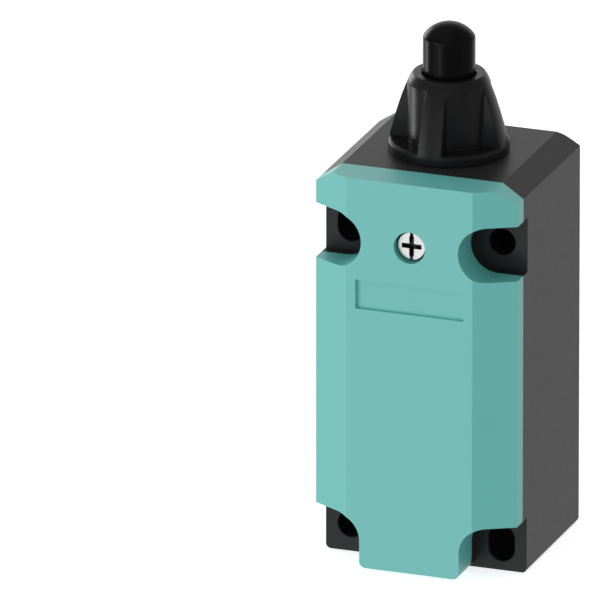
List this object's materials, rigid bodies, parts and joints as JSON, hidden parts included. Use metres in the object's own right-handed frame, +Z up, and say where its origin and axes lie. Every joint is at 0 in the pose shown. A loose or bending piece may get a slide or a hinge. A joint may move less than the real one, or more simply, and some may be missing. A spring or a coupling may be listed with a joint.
{
  "type": "limit switch",
  "caption": "Block-shaped limit switch with a domed plunger in a ribbed head, a hinged two-tone front cover and through holes for side or rear fixing.",
  "frame": {"origin": "centre of the base, on the surface that the housing stands on", "axes": "+Z up along the plunger's line of travel, +X to the right across the front cover, +Y from the cover to the back face"},
  "size_m": [0.04, 0.039, 0.103],
  "materials": {
    "housing_paint": "fine satin, dark grey",
    "cover_paint": "fine satin, blue-green",
    "head_plastic": "satin moulded, black",
    "plunger_plastic": "smooth semi-gloss, black",
    "block_plastic": "moulded, black",
    "ivory_plastic": "moulded, ivory",
    "red_plastic": "moulded, red",
    "seal_rubber": "matt",
    "plated_steel": "zinc plated",
    "spring_steel": "drawn wire",
    "contact_brass": "stamped, bright"
  },
  "bodies": {
    "housing": {"housing": "housing_paint", "cover_gasket": "seal_rubber", "plunger_guide": "head_plastic", "head_seal": "seal_rubber", "head_lock_clip": "plated_steel", "plunger_seal": "seal_rubber", "return_spring": "spring_steel", "spring_retainer": "plated_steel", "contact_block_base": "block_plastic", "contact_block_cover": "ivory_plastic", "block_return_spring": "spring_steel", "nc_fixed_contacts": "contact_brass", "no_fixed_contacts": "contact_brass", "terminal_clamps": "plated_steel", "terminal_screws": "plated_steel", "block_fixing_screws": "plated_steel", "earth_post": "contact_brass", "earth_clamp": "plated_steel", "earth_screw": "contact_brass"},
    "cover": {"cover": "cover_paint"},
    "cover_screw": {"cover_screw": "plated_steel", "cover_screw_ring": "seal_rubber"},
    "plunger": {"plunger": "plunger_plastic"},
    "switch_stem": {"switch_stem": "ivory_plastic", "transfer_spring": "spring_steel"},
    "contact_carrier": {"contact_carrier": "red_plastic", "nc_bridge": "contact_brass", "no_bridge": "contact_brass", "nc_contact_spring": "spring_steel", "no_contact_spring": "spring_steel"}
  },
  "joints": [
    {"name": "plunger_slide", "type": "slide", "parent": "housing", "child": "plunger", "axis": [0, 0, -1], "range_m": [0, 0.0055], "stiffness_N_per_m": 1500, "springref_m": -0.004, "deforming": ["return_spring"]},
    {"name": "stem_slide", "type": "slide", "parent": "housing", "child": "switch_stem", "axis": [0, 0, -1], "range_m": [0, 0.0055], "deforming": ["transfer_spring"]},
    {"name": "carrier_slide", "type": "slide", "parent": "housing", "child": "contact_carrier", "axis": [0, 0, -1], "range_m": [0, 0.00165], "deforming": ["block_return_spring"]},
    {"name": "cover_hinge", "type": "hinge", "parent": "housing", "child": "cover", "pos_m": [0, -0.0166, 0.0036], "axis": [1, 0, 0], "range_deg": [0, 90]},
    {"name": "cover_screw_slide", "type": "slide", "parent": "cover", "child": "cover_screw", "axis": [0, -1, 0], "range_m": [0, 0.0024]}
  ],
  "couplings": [
    {"joint": "stem_slide", "follows": "plunger_slide", "ratio": 1},
    {"joint": "carrier_slide", "follows": "plunger_slide", "ratio": 0.3}
  ]
}
